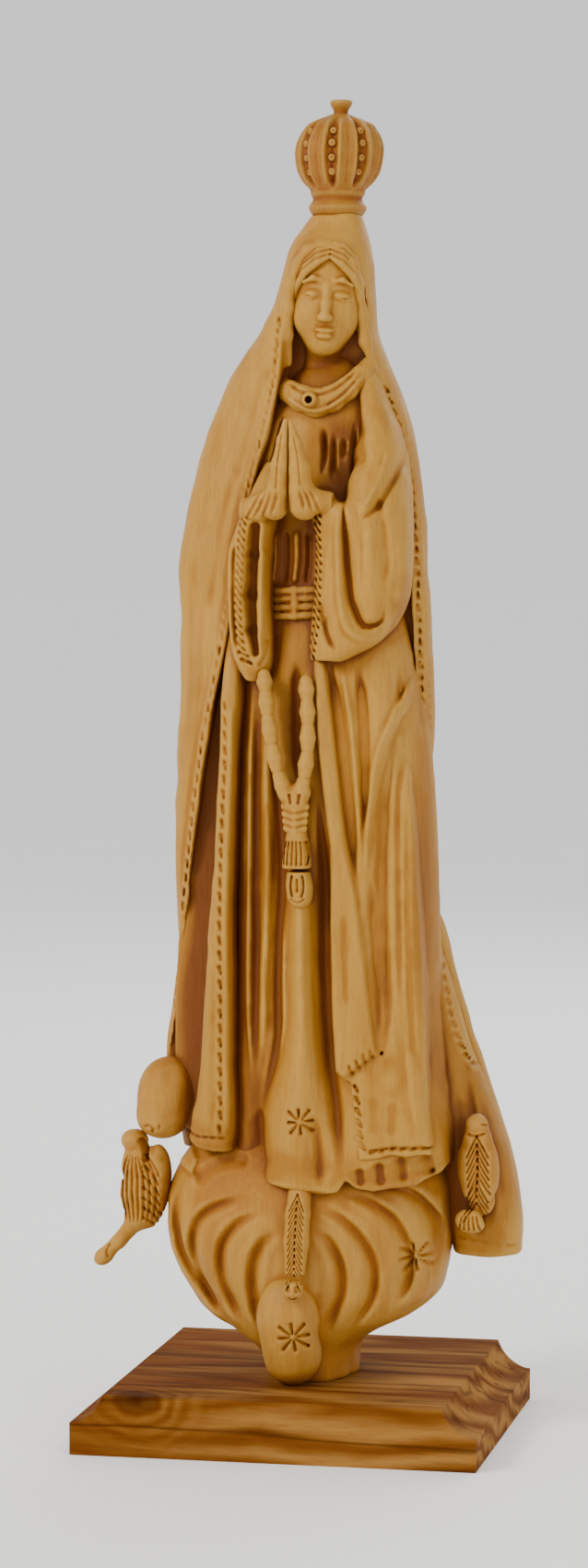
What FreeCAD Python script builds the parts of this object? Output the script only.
import FreeCAD, Part
import math
import os

os.makedirs("parts", exist_ok=True)
Vector = FreeCAD.Vector

# Driving dimensions, millimetres. Z = 0 is the underside of the base, the figure faces -Y.
total_height = 395.0
base_length = 120.0
base_depth = 105.0
base_thickness = 18.0
base_lip = 9.5
base_cove = 10.0
screw_spacing = 22.0
screw_shank = 4.0
screw_head = 8.0
screw_length = 40.0
peg_radius = 2.5
peg_clearance = 0.05
peg_height = 9.0
peg_root = 10.0
crown_seat = 361.5
crown_radius = 12.6
crown_axis_x = 9.3
crown_ribs = 8
hand_plane_x = 0.8
belt_low = 243.5
belt_high = 252.5


def oval(section, points=24, power=2.3):
    """Closed smooth outline at one height: z, left, right, front, back."""
    z, left, right, front, back = section
    middle_x = (left + right) / 2.0
    middle_y = (front + back) / 2.0
    outline = []
    for step in range(points):
        angle = 2.0 * math.pi * step / points
        cosine = math.cos(angle)
        sine = math.sin(angle)
        x = middle_x + (right - left) / 2.0 * math.copysign(abs(cosine) ** (2.0 / power), cosine)
        y = middle_y + (back - front) / 2.0 * math.copysign(abs(sine) ** (2.0 / power), sine)
        outline.append(Vector(x, y, z))
    curve = Part.BSplineCurve()
    curve.interpolate(Points=outline, PeriodicFlag=True)
    return Part.Wire(curve.toShape())


def carved(sections, power=2.3):
    """Solid that passes through a list of oval sections."""
    return Part.makeLoft([oval(section, 24, power) for section in sections], True, False)


def egg(centre, radii, lean_x=0.0, lean_y=0.0):
    """Ellipsoid with three radii, leaned in degrees about X, then Y."""
    stretch = FreeCAD.Matrix()
    stretch.scale(radii[0], radii[1], radii[2])
    solid = Part.makeSphere(1.0).transformGeometry(stretch)
    solid.rotate(Vector(0, 0, 0), Vector(1, 0, 0), lean_x)
    solid.rotate(Vector(0, 0, 0), Vector(0, 1, 0), lean_y)
    solid.translate(Vector(*centre))
    return solid


def rod(start, end, radius):
    """Round bar between two points."""
    run = Vector(*end) - Vector(*start)
    return Part.makeCylinder(radius, run.Length, Vector(*start), run)


def turned(profile, x, y):
    """Solid turned about a vertical axis at x, y from (radius, z) points."""
    points = [Vector(radius, 0, z) for radius, z in profile]
    points.append(points[0])
    solid = Part.Face(Part.makePolygon(points)).revolve(Vector(0, 0, 0), Vector(0, 0, 1), 360)
    solid.translate(Vector(x, y, 0))
    return solid


def prism(points, front, back):
    """Front-view outline of (x, z) points run from y = front to y = back."""
    corners = [Vector(x, front, z) for x, z in points]
    corners.append(corners[0])
    return Part.Face(Part.makePolygon(corners)).extrude(Vector(0, back - front, 0))


def largest(shape):
    """Biggest solid of a shape, so that carving leaves no crumbs."""
    return max(shape.Solids, key=lambda solid: solid.Volume)


def carve(block, tools):
    """Cut away each tool whose box meets the block, one at a time."""
    for tool in tools:
        if not block.BoundBox.intersect(tool.BoundBox):
            continue
        best, best_left = None, None
        for nudge in (0, 0.004, -0.004, 0.009):
            moved = tool.copy()
            moved.translate(Vector(nudge, nudge * 0.5, nudge))
            try:
                result = largest(block.cut(moved))
                left = result.common(tool).Volume if result.isValid() else 1e9
            except Exception:
                continue
            if best is None or left < best_left:
                best, best_left = result, left
            if best_left < 5:
                break
        if best_left > 5:
            print("left over", round(best_left), "mm3")
        block = best
    return block


# Base: plain front and back, cove moulded ends over a lip, two countersunk screw holes.
half = base_length / 2.0
cove_rise = base_thickness - base_lip
arc_in = 0.35
end_profile = [Vector(-half, 0, 0), Vector(half, 0, 0), Vector(half, 0, base_lip)]
cove_right = Part.Arc(
    Vector(half - 1.2, 0, base_lip),
    Vector(half - base_cove * (1 - arc_in), 0, base_lip + cove_rise * arc_in),
    Vector(half - base_cove, 0, base_thickness),
)
cove_left = Part.Arc(
    Vector(-half + base_cove, 0, base_thickness),
    Vector(-half + base_cove * (1 - arc_in), 0, base_lip + cove_rise * arc_in),
    Vector(-half + 1.2, 0, base_lip),
)
base_edges = [
    Part.makeLine(end_profile[0], end_profile[1]),
    Part.makeLine(end_profile[1], end_profile[2]),
    Part.makeLine(end_profile[2], Vector(half - 1.2, 0, base_lip)),
    cove_right.toShape(),
    Part.makeLine(Vector(half - base_cove, 0, base_thickness), Vector(base_cove - half, 0, base_thickness)),
    cove_left.toShape(),
    Part.makeLine(Vector(-half + 1.2, 0, base_lip), Vector(-half, 0, base_lip)),
    Part.makeLine(Vector(-half, 0, base_lip), end_profile[0]),
]
base_plate = Part.Face(Part.Wire(base_edges)).extrude(Vector(0, base_depth, 0))
base_plate.translate(Vector(0, -base_depth / 2.0, 0))

# Wood screws driven up through the base into the cloud, heads sunk in the underside.
head_sink = 1.0
head_depth = 2.6
screw_outline = [
    (0, head_sink),
    (screw_head / 2.0, head_sink),
    (screw_head / 2.0, head_sink + 0.4),
    (screw_shank / 2.0, head_sink + head_depth),
    (screw_shank / 2.0, head_sink + screw_length - 6.0),
    (0, head_sink + screw_length),
]
screws = []
for side in (-1, 1):
    screw_y = side * screw_spacing / 2.0
    blank = turned(screw_outline, 1.5, screw_y)
    slot = Part.makeBox(6.4, 1.0, 1.2, Vector(-1.7, screw_y - 0.5, head_sink))
    cross = Part.makeBox(1.0, 6.4, 1.2, Vector(1.0, screw_y - 3.2, head_sink))
    screws.append(blank.cut([slot, cross]))
    well = Part.makeCylinder(screw_head / 2.0, head_sink + 0.4, Vector(1.5, screw_y, 0))
    base_plate = base_plate.cut(well.fuse(turned(screw_outline, 1.5, screw_y)))
screw_blanks = [turned(screw_outline, 1.5, side * screw_spacing / 2.0) for side in (-1, 1)]

# Cloud under the figure: small foot, wide rolling top, egg shaped lobe at the front.
cloud = carved([
    (base_thickness, -13.5, 16.5, -24, 20),
    (24, -14, 17.5, -25, 21),
    (30, -20, 22, -26, 23),
    (35, -28, 35, -28, 25),
    (42, -36, 40.5, -30, 27),
    (52, -40.5, 43.5, -31, 29),
    (64, -42, 45, -31, 30),
    (76, -39, 43, -30, 29),
    (86, -30, 36, -25, 24),
])
cloud_front_lobe = egg((1.0, -29.5, 37.0), (10.0, 8.0, 15.0), -8.0, -6.0)
cloud_left_curl = egg((-43.0, -8.0, 99.0), (7.6, 8.0, 13.2), 0.0, 4.0)

# Three doves nestled in the cloud.
dove_left = largest(Part.Shape(egg((-49.5, -11, 73), (6.6, 6.8, 14.5), 0, 8)).multiFuse([
    egg((-49.0, -13.0, 85.0), (4.6, 4.8, 4.6)),
    egg((-55.5, -10.5, 57.0), (4.0, 3.4, 9.5), 0, 36),
    egg((-59.6, -10.5, 51.3), (3.2, 3.0, 3.0)),
]))
dove_front = largest(egg((4.0, -34.0, 63.0), (4.4, 4.6, 12.5), 6, 0).multiFuse([
    egg((4.0, -37.0, 49.6), (3.0, 3.2, 3.6)),
    egg((4.0, -33.5, 55.0), (3.6, 4.0, 6.5)),
]))
fan = prism([(49.6, 80), (54.4, 80), (57.0, 66), (52.6, 63.5), (46.6, 66)], -17.0, -11.0)
dove_right = largest(egg((53.2, -14.0, 94.0), (4.4, 4.6, 4.4)).multiFuse([
    egg((53.4, -13.5, 82.0), (6.0, 6.4, 10.5), 0, -4),
    fan,
]))
doves = [dove_left, dove_front, dove_right]

# Belt of wound bands, the two cord falls with their knot, and the tassel.
waist_belt = carved([
    (belt_low, -16.5, 25.0, -24.5, 16),
    ((belt_low + belt_high) / 2.0, -17.0, 25.5, -25.2, 16.5),
    (belt_high, -16.0, 25.0, -24.0, 16),
])
waist_belt = waist_belt.cut(carved([
    (belt_low - 1, -13.0, 21.5, -21.0, 13),
    (belt_high + 1, -13.0, 21.5, -21.0, 13),
]))
knot = turned([
    (0, 183.2), (2.6, 183.2), (3.9, 184.6), (3.9, 185.6), (2.9, 186.6),
    (3.9, 187.6), (3.9, 188.8), (2.4, 190.4), (0, 190.4),
], 2.9, -29.5)
belt_cord = largest(rod((-7.5, -25.5, 242.8), (-6.7, -27.5, 223.6), 1.6).multiFuse([
    rod((-6.8, -27.4, 224.6), (2.2, -29.5, 186), 1.7),
    rod((6.2, -27.5, 228), (3.4, -29.5, 186), 1.7),
    Part.makeSphere(2.1, Vector(-6.7, -27.5, 224.1)),
    knot,
]))
belt_tassel = turned([
    (0, 183.2), (2.6, 183.2), (4.0, 179.0), (4.6, 171.5), (3.4, 171.0),
    (3.4, 170.0), (4.9, 165.0), (5.4, 159.0), (0, 159.0),
], 2.9, -29.5)
cords = [belt_cord, belt_tassel]

# Praying hands, palm to palm on one upright plane.
hand_left = carved([
    (268, -5.6, hand_plane_x + 4.0, -32.0, -21.0),
    (276, -5.2, hand_plane_x + 4.0, -33.5, -22.0),
    (285, -4.2, hand_plane_x + 3.6, -34.0, -23.5),
    (294, -2.8, hand_plane_x + 3.0, -34.0, -25.5),
    (301.0, -1.0, hand_plane_x + 2.0, -33.0, -28.0),
], 3.0)
hand_left = carve(hand_left, [Part.makeBox(30, 60, 60, Vector(hand_plane_x, -60, 255))])
hand_right = hand_left.mirror(Vector(hand_plane_x, 0, 0), Vector(1, 0, 0))
hands = [hand_left, hand_right]

# Sleeves: a narrow hanging cuff on one side, a broad one on the other.
sleeve_left_block = carved([
    (223, -17.5, -5.0, -28, -13),
    (230, -22, -4.5, -29.5, -9),
    (244, -25, -4.5, -30.5, -6),
    (262, -26, -4.5, -30.5, -4),
    (276, -23, -4.5, -27, -2),
    (288, -17.5, -5.5, -20, -2),
    (297, -12, -6.5, -14, -3),
], 3.0)
sleeve_left = carve(sleeve_left_block, hands + [waist_belt, belt_cord])
sleeve_right_block = carved([
    (229.5, 5.5, 22, -31.5, -13),
    (235, 5, 29, -32.5, -9),
    (246, 5, 35, -33, -5),
    (262, 6.5, 36.5, -32, -3),
    (276, 10, 35.5, -29, -1),
    (290, 15, 33, -22.5, 0),
    (302, 18, 30, -15, 1),
], 3.0)
sleeve_right = carve(sleeve_right_block, hands + [waist_belt])
sleeves = [sleeve_left, sleeve_right]

# Head and neck, the hair that frames the face, and the collar band.
head = carved([
    (300, 2, 14, -8, 4),
    (312, 1.5, 14.5, -9.5, 4.5),
    (319, 1.5, 14.5, -13.5, 5),
    (326, -1.4, 17.4, -15.5, 8),
    (334, -2.4, 18.4, -16.0, 10),
    (342, -2.2, 18.2, -15.6, 10),
    (349, 0.5, 15.5, -12.5, 8),
    (353.5, 5, 11, -5.5, 3),
], 2.0)
face_window = prism([(0.2, 318), (15.8, 318), (17.0, 332), (15.4, 342), (8, 348.5), (0.6, 342), (-1, 332)], -30, -8)
hair = carved([
    (322, -3.6, 19.6, -12.5, 2),
    (330, -4.4, 20.0, -15.0, 4),
    (340, -4.2, 19.6, -16.4, 6),
    (349, -1.2, 17.2, -14.6, 6),
    (355, 4.5, 11.5, -8, 2),
], 2.0)
hair = carve(hair, [head, face_window])
collar_band = Part.makeCylinder(1.0, 5.0)
stretch = FreeCAD.Matrix()
stretch.scale(13.4, 11.6, 1.0)
collar_ring = collar_band.transformGeometry(stretch)
stretch = FreeCAD.Matrix()
stretch.scale(9.6, 8.4, 1.0)
collar_hole = collar_band.transformGeometry(stretch)
collar_band = collar_ring.cut(collar_hole)
collar_band.rotate(Vector(0, 0, 0), Vector(1, 0, 0), 20)
collar_band.translate(Vector(8.2, -3.6, 305.0))
collar_band = carve(collar_band, [head])

# Bodice and robe skirt, each let in around the pieces that lie on it.
bodice_block = carved([
    (belt_low - 3.5, -14, 22.5, -21, 13),
    (belt_high, -14, 24, -21.5, 13),
    (275, -16, 28, -20, 13),
    (292, -14, 27, -18, 12),
    (305, -9, 25, -14.5, 10),
    (314, -3, 19.5, -9.5, 6),
])
bodice = carve(bodice_block, sleeves + hands + [head, collar_band, waist_belt, belt_cord])
robe_block = carved([
    (76, -16, 44, -33.5, 22),
    (90, -15.5, 42, -32.5, 22),
    (120, -14.5, 37, -30.5, 20),
    (160, -14.5, 32, -29.0, 18),
    (200, -15, 28, -27.0, 17),
    (belt_low - 3.5, -15, 24, -22.5, 15),
])
robe_skirt = carve(robe_block, cords + sleeves + [waist_belt] + doves)
overskirt_block = carved([
    (85, 17, 51.5, -35, 8),
    (120, 19, 46, -32.5, 8),
    (160, 21, 40, -30.5, 8),
    (200, 22.5, 37.6, -27, 8),
    (232, 25, 36.5, -22, 6),
])
overskirt_panel = carve(overskirt_block, cords + sleeves + doves + [robe_skirt, waist_belt, bodice])

# Mantle: veil over the head, cloak down the back, open front, long flared tail at one side.
mantle = carved([
    (80, -39, 57, -22, 31),
    (101, -42, 54, -22, 30),
    (118, -43, 50.5, -23, 29),
    (140, -40.3, 44, -23, 28),
    (174, -40.2, 38.4, -23, 27),
    (207, -38.7, 38.3, -23, 26),
    (240, -38.1, 37.4, -22, 25),
    (262, -38, 36, -21, 24),
    (284, -33.8, 34, -19, 23),
    (305, -26.8, 29.4, -17, 20),
    (316, -21.7, 25.3, -16, 18),
    (327, -13.6, 21.4, -16, 16),
    (338, -7.7, 20.6, -16.5, 15),
    (349, -5.2, 19.7, -15.5, 13.5),
    (357, -0.5, 17.4, -10, 9),
    (crown_seat, 3, 14.8, -5, 5.5),
])
mantle_tail = carved([
    (55, 44, 66, -9, 16),
    (64, 42, 65.5, -10, 19),
    (84, 38, 61.5, -12, 24),
    (112, 32, 53, -12, 26),
])
opening = prism([
    (6, 353.5), (-1.6, 349), (-3.6, 340), (-5.8, 316), (-11, 288), (-15.2, 262), (-20.5, 235), (-23.5, 222),
    (-27.5, 192), (-31.5, 164), (-35.5, 137), (-40, 112), (-42, 98), (-42, 60), (49.4, 60), (49.4, 108), (44.5, 120), (40.2, 134), (38.0, 156), (37.6, 208), (36.4, 240),
    (34, 279), (28, 308), (20, 327), (18.8, 338), (16.5, 349), (12, 353.5),
], -45, -5)
inner_hollow = carved([
    (70, -20, 46, -36, 23),
    (120, -20, 40, -36, 22),
    (180, -24, 33, -34, 21),
    (240, -24, 30, -30, 19),
], 2.6)
mantle = largest(mantle.fuse(mantle_tail))
mantle = carve(mantle, [opening])
mantle = carve(mantle, [head, hair])
mantle = carve(mantle, [collar_band, bodice_block, sleeve_left_block, sleeve_right_block])
mantle = carve(mantle, [robe_block, overskirt_block, waist_belt])
mantle = carve(mantle, [cloud_left_curl] + doves)
mantle_fold = carved([
    (85.5, -32.4, -17.0, -25.5, -5),
    (96, -30.6, -16.2, -26.5, -5),
    (110, -28.6, -16.8, -27, -5),
    (135, -27, -16.8, -26.5, -5),
    (155, -25.2, -17.4, -25.5, -5),
    (185, -23, -16.6, -24.5, -5),
    (205, -22, -16.6, -23, -5),
    (226, -21, -17, -18, -5),
], 2.8)
mantle_fold = carve(mantle_fold, [mantle, robe_skirt] + cords + sleeves + [waist_belt])

cloud = carve(cloud, screw_blanks + [cloud_front_lobe, cloud_left_curl])
cloud = carve(cloud, doves)
cloud = carve(cloud, [robe_skirt, overskirt_panel, mantle_fold])
cloud = carve(cloud, [mantle])
cloud_front_lobe = carve(cloud_front_lobe, doves)
cloud_left_curl = carve(cloud_left_curl, doves)

# Crown: ribbed, pierced onion body lifting off a peg let into the top of the head.
crown_peg = Part.makeCylinder(
    peg_radius, peg_root + peg_height, Vector(crown_axis_x, 0, crown_seat - peg_root)
)
mantle = carve(mantle, [crown_peg])
head = carve(head, [crown_peg])
hair = carve(hair, [crown_peg])
crown = turned([
    (0, crown_seat), (7.4, crown_seat), (8.6, crown_seat + 1.4), (8.6, crown_seat + 3.4),
    (7.4, crown_seat + 4.6), (8.2, crown_seat + 7.5), (11.4, crown_seat + 12.5),
    (crown_radius, crown_seat + 17.0), (crown_radius - 0.5, crown_seat + 20.5),
    (crown_radius - 3.6, crown_seat + 24.4), (5.4, crown_seat + 27.0), (0, crown_seat + 27.4),
], crown_axis_x, 0)
for rib in range(crown_ribs):
    angle = 2.0 * math.pi * (rib + 0.5) / crown_ribs
    panel = egg(
        (crown_axis_x + 14.2 * math.cos(angle), 14.2 * math.sin(angle), crown_seat + 16.4),
        (3.0, 3.0, 7.0),
    )
    crown = crown.cut(panel)
crown_bore = Part.makeCylinder(
    peg_radius + peg_clearance, peg_height + 1.0, Vector(crown_axis_x, 0, crown_seat - 0.01)
)
crown = largest(crown.cut(crown_bore))
finial_foot = crown_seat + 26.0
crown_finial = turned([
    (0, finial_foot), (2.0, finial_foot), (2.0, finial_foot + 3.0), (3.0, finial_foot + 4.0),
    (2.2, finial_foot + 5.0), (3.5, total_height - 0.8), (3.5, total_height), (0, total_height),
], crown_axis_x, 0)
crown = carve(crown, [crown_finial])

nodes = {
    "base_plate": base_plate,
    "base_screw_front": screws[0],
    "base_screw_back": screws[1],
    "cloud_pedestal": cloud,
    "cloud_front_lobe": cloud_front_lobe,
    "cloud_left_curl": cloud_left_curl,
    "dove_left": dove_left,
    "dove_front": dove_front,
    "dove_right": dove_right,
    "robe_skirt": robe_skirt,
    "overskirt_panel": overskirt_panel,
    "bodice": bodice,
    "waist_belt": waist_belt,
    "belt_cord": belt_cord,
    "belt_tassel": belt_tassel,
    "sleeve_left": sleeve_left,
    "sleeve_right": sleeve_right,
    "hand_left": hand_left,
    "hand_right": hand_right,
    "collar_band": collar_band,
    "head": head,
    "hair": hair,
    "mantle": mantle,
    "mantle_fold": mantle_fold,
    "crown_peg": crown_peg,
    "crown": crown,
    "crown_finial": crown_finial,
}
for name, shape in nodes.items():
    shape.exportStep("parts/" + name + ".step")
    box = shape.BoundBox
    print(name, shape.isValid(), len(shape.Solids), round(shape.Volume),
          [round(value, 1) for value in (box.XMin, box.XMax, box.YMin, box.YMax, box.ZMin, box.ZMax)])
